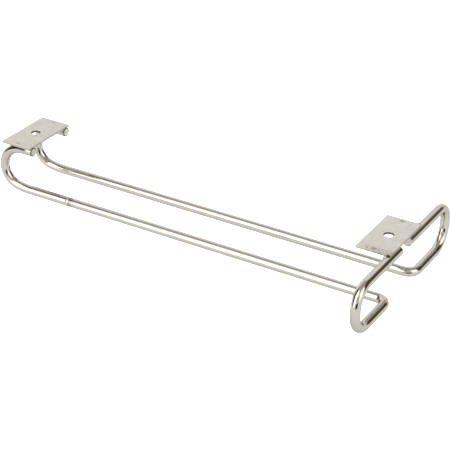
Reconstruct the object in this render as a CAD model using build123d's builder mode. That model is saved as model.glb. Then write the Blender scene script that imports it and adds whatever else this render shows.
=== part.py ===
from build123d import *
from math import cos, radians, sin
import os

# Welded under-shelf hanging rack: two bent rods carry a pair of rails below two screw plates.
# Origin: midway between the two screw holes, on the top faces of the plates, which meet the shelf.
# +X points to the open front of the rack, +Z up to the shelf, and left is the -Y side.

# Driving dimensions, millimetres
rod_diameter = 6.0
rail_spacing = 35.2         # between the centrelines of the two rails
hook_rise = 28.2            # from the rails up to the bars under the plates, between centrelines
loop_width = 122.2          # across the front, between the centrelines of the two posts
hole_spacing = 252.0        # between the screw holes of the two plates
rear_reach = 12.6           # from the rear screw hole back to the hooks' rearmost centreline
front_reach = 9.9           # from the front screw hole to the front bars' centreline
stub_reach = 11.4           # from the rear screw hole forward to the hooks' free ends

rail_bend_radius = 6.5      # bend radii are measured to the rod's centreline
hook_upper_radius = 15.0
hook_lead_radius = 50.0     # slow start of the hook's bend, before it tightens
hook_lead_angle = 11.5
lower_loop_radius = 14.0
upper_loop_radius = 11.8
rod_end_chamfer = 0.3

left_end_gap = 7.0          # from the mid-plane to each top bar's free end
right_end_gap = 4.0
left_joint_reach = 50.2     # from the hooks' rearmost centreline to each butt joint
right_joint_reach = 21.5
joint_gap = 0.8             # weld metal between the faces of a butt joint
joint_bevel = 0.5
left_weld_crown = 0.12
right_weld_crown = 0.03     # ground almost flush

plate_length = 43.0         # across the rack
plate_width = 22.0          # along the rack
plate_thickness = 1.2
plate_corner_radius = 0.8
plate_edge_radius = 0.2
plate_set_down = 0.3        # depth that resistance welding sinks each plate into the rods
screw_hole_radius = 2.8
hole_deburr = 0.3
dimple_spacing = 37.5
dimple_radius = 1.3
dimple_depth = 0.3

tack_radius = 1.7           # weld tacks at the ends of the front plate
tack_inset = 1.2            # from the bar's centreline back to a tack's centre
tack_overhang = 0.6         # from the plate's short edge out to a tack's centre
tack_depth = 2.0            # from the plates' top faces down to a tack's centre
bead_radius = 1.3           # weld beads in the corner between a rod's side and a plate
bead_offset = 2.5           # sideways, from the rod's centreline to a bead's centreline
bead_depth = 1.9            # from the plates' top faces down to a bead's centreline
bead_length = 7.0
rear_bead_reach = 5.4       # from the rear screw hole forward to the middle of each rear bead

# Derived positions
rod_radius = rod_diameter / 2
bar_z = -(plate_thickness - plate_set_down + rod_radius)
rail_z = bar_z - hook_rise
front_plate_x = hole_spacing / 2
rear_plate_x = -hole_spacing / 2
front_x = front_plate_x + front_reach
rear_x = rear_plate_x - rear_reach
lead_turn = radians(hook_lead_angle)
lead_rise = hook_lead_radius * (1 - cos(lead_turn))
hook_lower_radius = (hook_rise - hook_upper_radius - lead_rise) / cos(lead_turn)
hook_bend_x = rear_x + hook_lower_radius + (hook_lead_radius - hook_lower_radius) * sin(lead_turn)
stub_end_x = rear_plate_x + stub_reach
dimple_sphere_radius = (dimple_radius**2 + dimple_depth**2) / (2 * dimple_depth)

os.makedirs("parts", exist_ok=True)
rods = []


def finish(piece, name):
    """Label a finished piece and write it as one STEP file."""
    piece.part.label = name
    export_step(piece.part, f"parts/{name}.step")


# Rods: each side is a rear hook and a rail wire, butt-welded end to end in the rail
for side, sign, joint_reach, end_gap, weld_crown in (
    ("left", -1, left_joint_reach, left_end_gap, left_weld_crown),
    ("right", 1, right_joint_reach, right_end_gap, right_weld_crown),
):
    rail_y = sign * rail_spacing / 2
    post_y = sign * loop_width / 2
    joint_x = rear_x + joint_reach

    # Rail, outward bend, lower bar, post and upper bar, ending free near the mid-plane
    with BuildPart() as rail_wire:
        with BuildLine() as wire_path:
            FilletPolyline(
                (joint_x + joint_gap / 2, rail_y, rail_z),
                (front_x, rail_y, rail_z),
                (front_x, post_y, rail_z),
                (front_x, post_y, bar_z),
                (front_x, sign * end_gap, bar_z),
                radius=[rail_bend_radius, lower_loop_radius, upper_loop_radius],
            )
        wire_start = wire_path.wire()
        with BuildSketch(Plane(origin=wire_start @ 0, z_dir=wire_start % 0)):
            Circle(rod_radius)
        sweep()
        cut_ends = rail_wire.faces().filter_by(GeomType.PLANE).sort_by(Axis.Z)
        chamfer(cut_ends[0].edges(), joint_bevel)
        chamfer(cut_ends[-1].edges(), rod_end_chamfer)
    finish(rail_wire, f"{side}_rail_wire")

    # Short length of rail, bend and the stub that the rear plate sits on, drawn as X and Z
    with BuildPart() as rear_hook:
        with BuildLine(Plane.XZ.offset(-rail_y)) as hook_path:
            rail_run = Line((joint_x - joint_gap / 2, rail_z), (hook_bend_x, rail_z))
            lead = JernArc(rail_run @ 1, rail_run % 1, hook_lead_radius, -hook_lead_angle)
            lower = JernArc(lead @ 1, lead % 1, hook_lower_radius, hook_lead_angle - 90)
            upper = JernArc(lower @ 1, lower % 1, hook_upper_radius, -90)
            Line(upper @ 1, (stub_end_x, bar_z))
        with BuildSketch(Plane(origin=rail_run @ 0, z_dir=rail_run % 0)):
            Circle(rod_radius)
        sweep()
        cut_ends = rear_hook.faces().filter_by(GeomType.PLANE).sort_by(Axis.Z)
        chamfer(cut_ends[0].edges(), joint_bevel)
        chamfer(cut_ends[-1].edges(), rod_end_chamfer)
    finish(rear_hook, f"{side}_rear_hook")
    rods += [rail_wire.part, rear_hook.part]

    # Weld metal: a disc between the two faces, spreading over both bevels to a low crown
    with BuildPart() as butt_weld:
        weld_plane = Plane((joint_x, rail_y, rail_z), x_dir=(1, 0, 0), z_dir=(0, -1, 0))
        half_gap = joint_gap / 2
        half_weld = half_gap + joint_bevel
        with BuildSketch(weld_plane):
            with BuildLine():
                ThreePointArc((-half_weld, rod_radius), (0, rod_radius + weld_crown), (half_weld, rod_radius))
                Polyline(
                    (half_weld, rod_radius),
                    (half_gap, rod_radius - joint_bevel),
                    (half_gap, 0),
                    (-half_gap, 0),
                    (-half_gap, rod_radius - joint_bevel),
                    (-half_weld, rod_radius),
                )
            make_face()
        revolve(axis=Axis((joint_x, rail_y, rail_z), (1, 0, 0)))
    finish(butt_weld, f"{side}_butt_weld")

# Plates: two identical stampings, each sunk a little into the rods that it is welded to
plates = []
for place, plate_x in (("front", front_plate_x), ("rear", rear_plate_x)):
    with BuildPart() as plate:
        with BuildSketch(Plane((plate_x, 0, -plate_thickness))):
            RectangleRounded(plate_width, plate_length, plate_corner_radius)
        extrude(amount=plate_thickness)
        fillet(plate.faces().sort_by(Axis.Z)[-1].edges(), plate_edge_radius)
        with Locations((plate_x, 0, 0)):
            CounterSinkHole(screw_hole_radius, screw_hole_radius + hole_deburr, counter_sink_angle=90)
        with Locations((plate_x, 0, dimple_sphere_radius - dimple_depth)):
            with GridLocations(1, dimple_spacing, 1, 2):
                Sphere(dimple_sphere_radius, mode=Mode.SUBTRACT)
        for rod in rods:
            add(rod, mode=Mode.SUBTRACT)
    finish(plate, f"{place}_plate")
    plates.append(plate.part)

# Front welds: a tack on the bar at each end of the plate, and a bead under the plate on each bar
with BuildPart() as front_plate_welds:
    for sign, end_gap in ((-1, left_end_gap), (1, right_end_gap)):
        tack_y = sign * (plate_length / 2 + tack_overhang)
        bead_y = sign * (plate_length / 2 + end_gap) / 2
        with Locations((front_x - tack_inset, tack_y, -tack_depth)):
            Sphere(tack_radius)
        with Locations((front_x - bead_offset, bead_y, -bead_depth)):
            Cylinder(bead_radius, bead_length, rotation=(90, 0, 0))
            with GridLocations(1, bead_length, 1, 2):
                Sphere(bead_radius)
    for neighbour in rods + plates:
        add(neighbour, mode=Mode.SUBTRACT)
finish(front_plate_welds, "front_plate_welds")

# Rear welds: a bead on the inner side of each stub, under the plate
with BuildPart() as rear_plate_welds:
    for sign in (-1, 1):
        bead_y = sign * (rail_spacing / 2 - bead_offset)
        with Locations((rear_plate_x + rear_bead_reach, bead_y, -bead_depth)):
            Cylinder(bead_radius, bead_length, rotation=(0, 90, 0))
            with GridLocations(bead_length, 1, 2, 1):
                Sphere(bead_radius)
    for neighbour in rods + plates:
        add(neighbour, mode=Mode.SUBTRACT)
finish(rear_plate_welds, "rear_plate_welds")
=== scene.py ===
import math

import bpy
from mathutils import Matrix, Vector


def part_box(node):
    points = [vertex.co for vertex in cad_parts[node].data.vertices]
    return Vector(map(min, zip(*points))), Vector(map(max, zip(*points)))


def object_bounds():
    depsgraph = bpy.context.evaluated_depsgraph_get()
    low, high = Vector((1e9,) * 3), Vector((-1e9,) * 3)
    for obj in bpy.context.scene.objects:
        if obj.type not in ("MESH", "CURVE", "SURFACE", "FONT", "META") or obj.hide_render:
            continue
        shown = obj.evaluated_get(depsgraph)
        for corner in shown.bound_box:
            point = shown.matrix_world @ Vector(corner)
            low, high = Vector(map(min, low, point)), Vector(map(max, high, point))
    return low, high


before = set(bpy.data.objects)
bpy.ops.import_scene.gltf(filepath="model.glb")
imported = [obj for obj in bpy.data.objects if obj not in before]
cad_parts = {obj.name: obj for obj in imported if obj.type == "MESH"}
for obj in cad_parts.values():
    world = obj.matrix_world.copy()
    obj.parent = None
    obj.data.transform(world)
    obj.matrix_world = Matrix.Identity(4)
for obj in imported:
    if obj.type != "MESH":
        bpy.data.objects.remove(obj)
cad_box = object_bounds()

MM = 0.001

RODS = ("left_rail_wire", "right_rail_wire", "left_rear_hook", "right_rear_hook")
PLATES = ("front_plate", "rear_plate")
FLUSH_WELDS = ("right_butt_weld",)
RAISED_WELDS = ("left_butt_weld", "front_plate_welds", "rear_plate_welds")


def middle_x(name):
    """X of the middle of a CAD node."""
    low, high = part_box(name)
    return (low.x + high.x) / 2


# Places on the rack, as the CAD model has them
HOLE_X = middle_x("front_plate")        # the rear screw hole is at -HOLE_X
HOLE_RADIUS = 2.8 * MM
PLATE_END_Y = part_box("front_plate")[1].y
DIMPLE_Y = 18.75 * MM
RAIL_Y = 17.6 * MM
RAIL_Z = -32.1 * MM
BAR_X = 135.9 * MM                      # the upper front bars, which the stubs are level with
BAR_Z = -3.9 * MM
STUB_END_X = -114.6 * MM
LEFT_BAR_END_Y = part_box("left_rail_wire")[1].y
RIGHT_BAR_END_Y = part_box("right_rail_wire")[0].y
LEFT_SEAM_X = middle_x("left_butt_weld")
RIGHT_SEAM_X = middle_x("right_butt_weld")

CAMERA_AIM = Vector((0.01167, 0.00940, -0.03210))
CAMERA_AZIMUTH = 30.3685
CAMERA_ELEVATION = 29.1164
CAMERA_ROLL = 0.9083
CAMERA_DISTANCE = 0.91303
CAMERA_LENS = 117.363
SENSOR_WIDTH = 36.0

# Studio: the radiance of a white surface is 1
FLOOR_DROP = 0.30           # from the rack's lowest point down to the floor
FLOOR_FRONT = 1.2           # from the rack to the floor's front edge, in the direction of this azimuth
FLOOR_FRONT_AZIMUTH = -80.0
FLOOR_REACH = 6.0           # from the rack to the floor's other edges
FLOOR_COLOUR = (0.85, 0.85, 0.85, 1)
FLOOR_GLOW = (0.16, 0.34)   # light that the floor adds to what it reflects, at these two radii
FLOOR_GLOW_RADII = (0.10, 0.60)
FLAG_FROM_X = -0.08         # the dark card behind the hooks stands off from this place on the rack
FLAG_DISTANCE = 0.30
FLAG_AZIMUTH = -160.0
FLAG_HALF_WIDTH = 0.085
FLAG_HEIGHT = 0.49
FLAG_COLOUR = (0.10, 0.085, 0.065, 1)
WALL_LIGHT = (1.25, 1.25, 1.25, 1)
CEILING_LIGHT = (0.56, 0.55, 0.53, 1)
CEILING_EDGE = (45, 60)     # the walls turn into the ceiling between these elevations

# Plated metal, as its reflectance looking straight at it
ROD_METAL = (0.508, 0.485, 0.441)
PLATE_METAL = (0.614, 0.594, 0.546)
SHEARED_METAL = (0.50, 0.46, 0.38)      # the plates' cut edges
SAWN_METAL = (0.60, 0.61, 0.55)         # the stubs' cut ends
CROPPED_METAL = (0.57, 0.55, 0.51)      # the front bars' cut ends
# also the straw tint of the right rail's dull patch, painted shade that dims its highlight
STRAW_METAL = (0.60, 0.54, 0.42)        # weld metal where heat has tinted it
# painted shade on the rims of the cut ends
RIM_SHADE = (0.13, 0.12, 0.08)
# dark brown for tarnish and darker marks, and for painted shade on the stubs and in the screw holes
TARNISH_AND_SHADE = (0.075, 0.058, 0.038)
EDGE_TINT = (0.68, 0.67, 0.65, 1)       # what the reflectance is multiplied by towards grazing angles

# Roughness
ROD_GLOSS = (0.045, 0.085)
HAIRLINE_GLOSS = 0.20
GROUND_GLOSS = 0.30
SAWN_GLOSS = 0.4
PLATE_GLOSS = (0.34, 0.46)
SHEARED_GLOSS = 0.55
WELD_GLOSS = (0.24, 0.42)


# ---------------------------------------------------------------- shader nodes

class Graph:
    """A node tree with short ways to add and join nodes."""

    def __init__(self, tree):
        self.tree = tree

    def add(self, kind, inputs=(), **settings):
        """A new node, its settings, and its inputs by name: each a constant or another node's output."""
        node = self.tree.nodes.new(kind)
        for name, value in settings.items():
            setattr(node, name, value)
        for socket, value in dict(inputs).items():
            self.put(node.inputs[socket], value)
        return node

    def put(self, socket, value):
        if isinstance(value, bpy.types.NodeSocket):
            self.tree.links.new(value, socket)
        else:
            socket.default_value = value

    def maths(self, operation, first, second=0.0):
        return self.add("ShaderNodeMath", {0: first, 1: second}, operation=operation).outputs[0]

    def product(self, *values):
        result = values[0]
        for value in values[1:]:
            result = self.maths("MULTIPLY", result, value)
        return result

    def vector_maths(self, operation, first, second):
        return self.add("ShaderNodeVectorMath", {0: first, 1: second}, operation=operation)

    def split(self, vector):
        return self.add("ShaderNodeSeparateXYZ", {0: vector}).outputs

    def distance(self, first, second):
        """Length of the vector whose two parts are these."""
        squares = self.maths("ADD", self.product(first, first), self.product(second, second))
        return self.maths("SQRT", squares)

    def offset(self, value, origin):
        return self.maths("SUBTRACT", value, origin)

    def remap(self, value, low, high, to_low=0.0, to_high=1.0):
        """value, taken smoothly from low..high to to_low..to_high and held there outside."""
        node = self.add(
            "ShaderNodeMapRange",
            {"Value": value, "From Min": low, "From Max": high, "To Min": to_low, "To Max": to_high},
            interpolation_type="SMOOTHSTEP",
        )
        return node.outputs["Result"]

    def blend(self, share, first, second):
        """first where share is 0 and second where it is 1, as colours."""
        node = self.add("ShaderNodeMix", data_type="RGBA")
        self.put(node.inputs["Factor"], share)
        self.put(node.inputs[6], first)
        self.put(node.inputs[7], second)
        return node.outputs[2]

    def blend_values(self, share, first, second):
        node = self.add("ShaderNodeMix", {"Factor": share, "A": first, "B": second}, data_type="FLOAT")
        return node.outputs["Result"]

    def noise(self, place, size, detail=2.0, roughness=0.5):
        """Noise of a feature size in metres, about 0 to 1."""
        node = self.add(
            "ShaderNodeTexNoise",
            {"Vector": place, "Scale": 1 / size, "Detail": detail, "Roughness": roughness},
        )
        return node.outputs["Fac"]

    def bump(self, height, depth, onto=None):
        """A normal from a height of 0 to 1 that stands for depth in metres."""
        inputs = {"Height": height, "Distance": depth, "Strength": 1.0}
        if onto is not None:
            inputs["Normal"] = onto
        return self.add("ShaderNodeBump", inputs).outputs["Normal"]


def metal(name):
    """A metallic material with its graph, its shader and the place on the object."""
    material = bpy.data.materials.new(name)
    material.use_nodes = True
    graph = Graph(material.node_tree)
    shader = material.node_tree.nodes["Principled BSDF"]
    shader.inputs["Metallic"].default_value = 1.0
    shader.inputs["Specular Tint"].default_value = EDGE_TINT
    place = graph.add("ShaderNodeTexCoord").outputs["Object"]
    return material, graph, shader, place


def shade(colour, factor=1.0):
    return tuple(channel * factor for channel in colour) + (1,)


# ---------------------------------------------------------------- materials

def rod_ends(graph, place):
    """How much a point belongs to a stub's sawn end, to a front bar's end, and to either end's rim of painted
    shade.
    """
    x, y, z = graph.split(place)
    side = graph.maths("ABSOLUTE", y)
    above_hooks = graph.remap(z, -9 * MM, -8 * MM)

    stub = graph.remap(x, STUB_END_X - 0.60 * MM, STUB_END_X - 0.35 * MM)
    stub = graph.product(stub, above_hooks, graph.remap(x, 0.0, -10 * MM))
    stub_radius = graph.distance(graph.offset(side, RAIL_Y), graph.offset(z, BAR_Z))
    # painted shade: a dark outline round each stub's end face
    stub_rim_shade = graph.product(stub, graph.remap(stub_radius, 2.1 * MM, 2.6 * MM))

    # Painted shade: the front bars' rims are dark only on their lower sides
    left_bar = graph.remap(y, LEFT_BAR_END_Y - 1.10 * MM, LEFT_BAR_END_Y - 0.70 * MM)
    right_bar = graph.remap(y, RIGHT_BAR_END_Y + 1.10 * MM, RIGHT_BAR_END_Y + 0.70 * MM)
    bar = graph.product(left_bar, right_bar)
    bar_low = graph.remap(z, BAR_Z - 0.8 * MM, BAR_Z - 2.0 * MM)
    bar_radius = graph.distance(graph.offset(x, BAR_X), graph.offset(z, BAR_Z))
    bar_rim_shade = graph.product(bar, bar_low, graph.remap(bar_radius, 2.1 * MM, 2.6 * MM), 0.6)
    return stub, bar, graph.maths("MAXIMUM", stub_rim_shade, bar_rim_shade)


def seam_band_and_stub_shade(graph, place):
    """Where the rods are darkened: a band just in front of the left butt weld, and painted shade along the
    stubs' tops under the plate's edge.
    """
    x, y, z = graph.split(place)
    past_seam = graph.offset(x, LEFT_SEAM_X)
    ring = graph.product(
        graph.remap(past_seam, 0.7 * MM, 0.9 * MM),
        graph.remap(past_seam, 6.0 * MM, 1.2 * MM),
        graph.remap(y, 0.0, -5 * MM),
        graph.remap(z, -20 * MM, -25 * MM),
        0.47,
    )
    # painted shade: a dark strip along each stub's top, just under the plate's edge
    stub = graph.product(
        graph.remap(x, STUB_END_X - 3 * MM, STUB_END_X - 6 * MM),
        graph.remap(z, BAR_Z + 0.3 * MM, BAR_Z + 1.0 * MM),
    )
    return graph.maths("MAXIMUM", ring, stub)


def dull_patch_and_painted_dimming(graph, place):
    """A dull patch on the near side of the right rail, in front of its butt weld; its straw tint is kept to
    the band where the highlight falls, as painted shade dimming that highlight.
    """
    x, y, z = graph.split(place)
    past_seam = graph.offset(x, RIGHT_SEAM_X)
    height = graph.offset(z, RAIL_Z)
    return graph.product(
        graph.remap(past_seam, 0.0, 0.8 * MM),
        graph.remap(past_seam, 5.0 * MM, 3.4 * MM),
        graph.remap(y, 10 * MM, 12 * MM),
        graph.remap(y, RAIL_Y + 1.0 * MM, RAIL_Y),
        graph.remap(height, 0.0, 1.0 * MM),
        graph.remap(height, 2.7 * MM, 2.0 * MM),
    )


def polished_rod():
    """Bright nickel-chrome plate on drawn rod: a mirror with faint cloudiness, hairlines and orange peel."""
    material, graph, shader, place = metal("polished_rod")
    cloud = graph.noise(place, 14 * MM, detail=3)
    grain = graph.noise(place, 0.5 * MM, detail=2)
    peel = graph.noise(place, 5 * MM, detail=1)
    stub, bar, rim_shade = rod_ends(graph, place)
    end = graph.maths("MAXIMUM", stub, bar)
    patch_and_dimming = dull_patch_and_painted_dimming(graph, place)

    # Colour: the plating, then the straw patch, the darkened band and the painted shade on the stubs, then
    # the cut ends with their rims of painted shade
    tone = graph.remap(cloud, 0.35, 0.65)
    colour = graph.blend(tone, shade(ROD_METAL, 0.97), shade(ROD_METAL, 1.02))
    # a dull patch whose straw tint is painted shade dimming the right rail's highlight
    colour = graph.blend(patch_and_dimming, colour, shade(STRAW_METAL, 0.72))
    # the darkened band in front of the left seam, and painted shade on the stubs
    colour = graph.blend(seam_band_and_stub_shade(graph, place), colour, shade(TARNISH_AND_SHADE, 0.4))
    cut = graph.blend(stub, shade(CROPPED_METAL), shade(SAWN_METAL))
    cut = graph.blend(graph.remap(grain, 0.45, 0.32), cut, shade(TARNISH_AND_SHADE, 5.0))
    colour = graph.blend(end, colour, cut)
    # painted shade on the rims of the cut ends
    colour = graph.blend(rim_shade, colour, shade(RIM_SHADE))
    graph.put(shader.inputs["Base Color"], colour)

    # Handling marks: thin lines in two slanted directions, only where the cloudiness lets them show
    marks = 0.0
    for turn, size in ((0.6, 1.1 * MM), (-1.1, 1.6 * MM)):
        slant = graph.add(
            "ShaderNodeMapping",
            {"Vector": place, "Rotation": (turn, 0.4, turn), "Scale": (1, 9, 1)},
        )
        line = graph.noise(slant.outputs["Vector"], 4 * size, detail=1)
        marks = graph.maths("MAXIMUM", graph.remap(line, 0.70, 0.76), marks)
    marks = graph.product(marks, graph.remap(cloud, 0.45, 0.7))

    gloss = graph.remap(cloud, 0.3, 0.7, *ROD_GLOSS)
    gloss = graph.maths("ADD", gloss, graph.product(grain, 0.02))
    gloss = graph.blend_values(marks, gloss, HAIRLINE_GLOSS)
    gloss = graph.blend_values(patch_and_dimming, gloss, GROUND_GLOSS)
    graph.put(shader.inputs["Roughness"], graph.blend_values(end, gloss, SAWN_GLOSS))

    normal = graph.bump(peel, 0.012 * MM)
    normal = graph.bump(marks, 0.001 * MM, normal)
    normal = graph.bump(graph.product(end, grain), 0.05 * MM, normal)
    graph.put(shader.inputs["Normal"], normal)
    return material


def plate_marks_and_hole_shade(graph, place, fine, broad):
    """How dark each point of a plate is: painted shade in the screw hole, and darker marks at the dimples and
    near the front welds.
    """
    x, y, z = graph.split(place)
    along = graph.offset(graph.maths("ABSOLUTE", x), HOLE_X)
    across = graph.maths("ABSOLUTE", y)

    # painted shade on the screw hole's wall and the edge round it
    hole_shade = graph.remap(graph.distance(along, across), HOLE_RADIUS + 0.35 * MM, HOLE_RADIUS + 0.15 * MM)
    hole_shade = graph.product(hole_shade, 0.9)

    # The dimples' darker marks are stretched along the rack, ragged, and stronger on the front plate
    ragged = graph.maths("MULTIPLY", graph.offset(broad, 0.5), 1.2 * MM)
    from_dimple = graph.maths("ADD", graph.offset(across, DIMPLE_Y), ragged)
    dimple = graph.distance(graph.product(along, 0.45), from_dimple)
    dimple = graph.product(
        graph.remap(dimple, 1.5 * MM, 0.3 * MM),
        graph.remap(x, -50 * MM, 50 * MM, 0.2, 0.45),
    )

    # Darker blotches along the near end of the front plate
    near_end_blotches = graph.product(
        graph.remap(y, -14.5 * MM, -19.5 * MM),
        graph.remap(x, HOLE_X - 9 * MM, HOLE_X - 3 * MM),
        graph.remap(fine, 0.44, 0.58),
        0.5,
    )

    # Darker where the plate's cut edge meets the bar, at each end
    tack = graph.product(
        graph.remap(x, BAR_X - 1.9 * MM, BAR_X - 0.9 * MM),
        graph.remap(across, PLATE_END_Y - 0.9 * MM, PLATE_END_Y - 0.3 * MM),
        0.85,
    )

    darkening = graph.maths("MAXIMUM", hole_shade, dimple)
    darkening = graph.maths("MAXIMUM", darkening, tack)
    return graph.maths("MAXIMUM", darkening, near_end_blotches)


def satin_plate():
    """Plated sheet, tumbled to a satin: cloudy, with rolled streaks, sheared edges, darker marks and painted
    shade in the screw hole.
    """
    material, graph, shader, place = metal("satin_plate")
    speckle = graph.noise(place, 0.45 * MM, detail=3, roughness=0.6)
    fine = graph.noise(place, 1.3 * MM, detail=3, roughness=0.6)
    broad = graph.noise(place, 5 * MM, detail=3)
    stretched = graph.add("ShaderNodeMapping", {"Vector": place, "Scale": (1, 0.06, 1)}).outputs["Vector"]
    streak = graph.noise(stretched, 0.7 * MM, detail=2)
    tone = graph.remap(graph.blend_values(0.45, broad, fine), 0.35, 0.65)
    colour = graph.blend(tone, shade(PLATE_METAL, 0.92), shade(PLATE_METAL, 1.05))

    up = graph.split(graph.add("ShaderNodeNewGeometry").outputs["Normal"])[2]
    sheared = graph.remap(graph.maths("ABSOLUTE", up), 0.55, 0.35)
    colour = graph.blend(sheared, colour, shade(SHEARED_METAL))
    # darker marks, and painted shade in the screw hole
    colour = graph.blend(plate_marks_and_hole_shade(graph, place, fine, broad), colour, shade(TARNISH_AND_SHADE))
    graph.put(shader.inputs["Base Color"], colour)

    gloss = graph.remap(graph.blend_values(0.4, speckle, streak), 0.3, 0.7, *PLATE_GLOSS)
    graph.put(shader.inputs["Roughness"], graph.blend_values(sheared, gloss, SHEARED_GLOSS))
    normal = graph.bump(speckle, 0.010 * MM)
    normal = graph.bump(streak, 0.004 * MM, normal)
    graph.put(shader.inputs["Normal"], normal)
    return material


def weld_metal():
    """Plated weld metal: a fine rippled skin, brighter than the rod; straw by the front plate, and darker
    where the front welds reach over the bars.
    """
    material, graph, shader, place = metal("weld_metal")
    skin = graph.noise(place, 0.6 * MM, detail=3)
    patch = graph.noise(place, 2.2 * MM, detail=2)
    tone = graph.remap(patch, 0.35, 0.65)
    clean = graph.blend(tone, shade(ROD_METAL, 1.05), shade(ROD_METAL, 1.15))
    straw = graph.blend(tone, shade(STRAW_METAL), shade(ROD_METAL, 1.15))
    x = graph.split(place)[0]
    darker_bar_side = graph.remap(x, BAR_X - 1.2 * MM, BAR_X - 0.4 * MM)
    straw = graph.blend(darker_bar_side, straw, shade(TARNISH_AND_SHADE, 1.5))
    at_front = graph.remap(x, 50 * MM, 60 * MM)
    graph.put(shader.inputs["Base Color"], graph.blend(at_front, clean, straw))
    graph.put(shader.inputs["Roughness"], graph.remap(skin, 0.3, 0.7, *WELD_GLOSS))
    graph.put(shader.inputs["Normal"], graph.bump(skin, 0.03 * MM))
    return material


def dress(names, material):
    """The CAD nodes of these names wear one material."""
    for name in names:
        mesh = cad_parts[name].data
        mesh.materials.clear()
        mesh.materials.append(material)


# ---------------------------------------------------------------- studio

def direction(azimuth, elevation):
    """Unit vector to a point of the sky; azimuth turns from +X to +Y, both in degrees."""
    a, e = math.radians(azimuth), math.radians(elevation)
    return Vector((math.cos(a) * math.cos(e), math.sin(a) * math.cos(e), math.sin(e)))


def panel_share(graph, ray, azimuth, elevation, half_width, half_height, edge):
    """1 for rays that meet a flat panel, 0 past its soft edge; its half sizes and edge are in degrees."""
    outward = direction(azimuth, elevation)
    sideways = outward.cross(Vector((0, 0, 1))).normalized()
    upward = sideways.cross(outward)
    ahead = graph.vector_maths("DOT_PRODUCT", ray, outward).outputs["Value"]
    share = graph.remap(ahead, 0.02, 0.1)
    for axis, half in ((sideways, half_width), (upward, half_height)):
        along = graph.vector_maths("DOT_PRODUCT", ray, axis).outputs["Value"]
        angle = graph.maths("ABSOLUTE", graph.maths("ARCTAN2", along, ahead))
        outer = math.radians(half + edge / 2)
        inner = math.radians(half - edge / 2)
        share = graph.product(share, graph.remap(angle, inner, outer, 1.0, 0.0))
    return share


def studio_world():
    """A white room with two softboxes and some dark things for the rods to mirror; the camera sees white."""
    world = bpy.data.worlds.new("studio")
    bpy.context.scene.world = world
    world.use_nodes = True
    graph = Graph(world.node_tree)
    background = world.node_tree.nodes["Background"]
    ray = graph.add("ShaderNodeTexCoord").outputs["Generated"]
    height = graph.split(ray)[2]

    lower, upper = (math.sin(math.radians(elevation)) for elevation in CEILING_EDGE)
    light = graph.blend(graph.remap(height, lower, upper), WALL_LIGHT, CEILING_LIGHT)
    for azimuth, elevation, half_width, half_height, edge, radiance in (
        (44, 28, 28.5, 28, 27, (0.100, 0.074, 0.044)),       # dark room behind to the right
        (-57, 1, 22, 12, 13, (0.030, 0.022, 0.014)),         # camera and photographer
        (-60, 32, 22, 13, 10, (0.62, 0.61, 0.58)),           # wall between the softboxes
        (-146, 10, 16, 16, 5, (0.030, 0.022, 0.014)),        # stand beside the left softbox
        (-166, 34, 15, 23, 6, (0.17, 0.155, 0.125)),         # flag behind the left softbox
        (-113.5, 33.5, 18.6, 34.5, 20, (2.5, 2.5, 2.5)),     # left softbox
        (-10.5, 34.5, 20, 24.5, 4.6, (2.15, 2.15, 2.15)),    # right softbox
    ):
        share = panel_share(graph, ray, azimuth, elevation, half_width, half_height, edge)
        light = graph.blend(share, light, radiance + (1,))

    seen = graph.add("ShaderNodeLightPath").outputs["Is Camera Ray"]
    graph.put(background.inputs["Color"], graph.blend(seen, light, (1, 1, 1, 1)))


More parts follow.
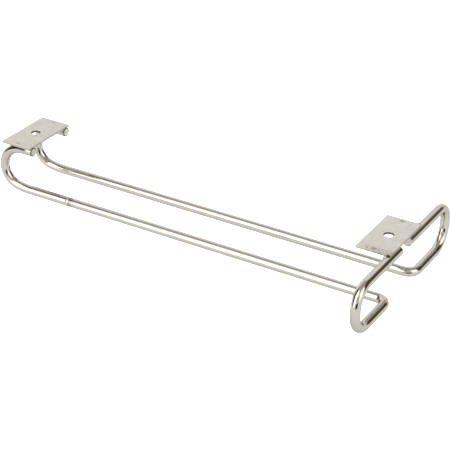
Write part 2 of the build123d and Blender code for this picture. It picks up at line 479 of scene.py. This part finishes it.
def studio_floor():
    """A plain pale table top below the rack: camera rays see it glow pure white, and the rods mirror its pale
    colour plus a painted glow, weaker under the rack than further out.
    """
    level = cad_box[0].z - FLOOR_DROP
    forward = direction(FLOOR_FRONT_AZIMUTH, 0)
    sideways = forward.cross(Vector((0, 0, 1)))
    corners = []
    for ahead, across in (
        (FLOOR_FRONT, -FLOOR_REACH),
        (FLOOR_FRONT, FLOOR_REACH),
        (-FLOOR_REACH, FLOOR_REACH),
        (-FLOOR_REACH, -FLOOR_REACH),
    ):
        corners.append(forward * ahead + sideways * across + Vector((0, 0, level)))
    mesh = bpy.data.meshes.new("studio_floor")
    mesh.from_pydata(corners, [], [(0, 1, 2, 3)])
    floor = bpy.data.objects.new("studio_floor", mesh)
    bpy.context.scene.collection.objects.link(floor)

    material = bpy.data.materials.new("pale_floor")
    material.use_nodes = True
    graph = Graph(material.node_tree)
    shader = material.node_tree.nodes["Principled BSDF"]
    shader.inputs["Base Color"].default_value = FLOOR_COLOUR
    shader.inputs["Roughness"].default_value = 1.0
    shader.inputs["Specular IOR Level"].default_value = 0.0
    shader.inputs["Emission Color"].default_value = (1, 1, 1, 1)
    x, y, z = graph.split(graph.add("ShaderNodeTexCoord").outputs["Object"])
    # painted light: the floor's own glow, weaker under the rack and stronger further out
    glow = graph.remap(graph.distance(x, y), *FLOOR_GLOW_RADII, *FLOOR_GLOW)
    seen = graph.add("ShaderNodeLightPath").outputs["Is Camera Ray"]
    graph.put(shader.inputs["Emission Strength"], graph.blend_values(seen, glow, 1.0))
    mesh.materials.append(material)


def hook_flag():
    """A dark card that stands behind the hooks, out of the picture; the rods mirror it."""
    towards = direction(FLAG_AZIMUTH, 0)
    sideways = towards.cross(Vector((0, 0, 1)))
    foot = Vector((FLAG_FROM_X, 0, cad_box[0].z)) + towards * FLAG_DISTANCE
    up = Vector((0, 0, FLAG_HEIGHT))
    half = sideways * FLAG_HALF_WIDTH
    mesh = bpy.data.meshes.new("hook_flag")
    corners = [foot - half, foot + half, foot + half + up, foot - half + up]
    mesh.from_pydata(corners, [], [(0, 1, 2, 3)])
    flag = bpy.data.objects.new("hook_flag", mesh)
    flag.visible_camera = False
    bpy.context.scene.collection.objects.link(flag)

    material = bpy.data.materials.new("black_cloth")
    material.use_nodes = True
    shader = material.node_tree.nodes["Principled BSDF"]
    shader.inputs["Base Color"].default_value = FLAG_COLOUR
    shader.inputs["Roughness"].default_value = 1.0
    mesh.materials.append(material)


def place_camera():
    """The camera stands back from the aim point and rolls about its own axis."""
    a, e, r = (math.radians(v) for v in (CAMERA_AZIMUTH, CAMERA_ELEVATION, CAMERA_ROLL))
    back = Vector((math.sin(a) * math.cos(e), -math.cos(a) * math.cos(e), math.sin(e)))
    level = Vector((math.cos(a), math.sin(a), 0))
    upright = back.cross(level)
    right = math.cos(r) * level + math.sin(r) * upright
    up = math.cos(r) * upright - math.sin(r) * level
    lens = bpy.data.cameras.new("camera")
    lens.sensor_width = SENSOR_WIDTH
    lens.lens = CAMERA_LENS
    camera = bpy.data.objects.new("camera", lens)
    camera.matrix_world = Matrix((right, up, back)).transposed().to_4x4()
    camera.location = CAMERA_AIM + CAMERA_DISTANCE * back
    bpy.context.scene.collection.objects.link(camera)
    bpy.context.scene.camera = camera


# ---------------------------------------------------------------- the scene

rod = polished_rod()
dress(RODS + FLUSH_WELDS, rod)
dress(PLATES, satin_plate())
dress(RAISED_WELDS, weld_metal())

studio_world()
studio_floor()
hook_flag()
place_camera()
bpy.context.scene.view_settings.view_transform = "Standard"
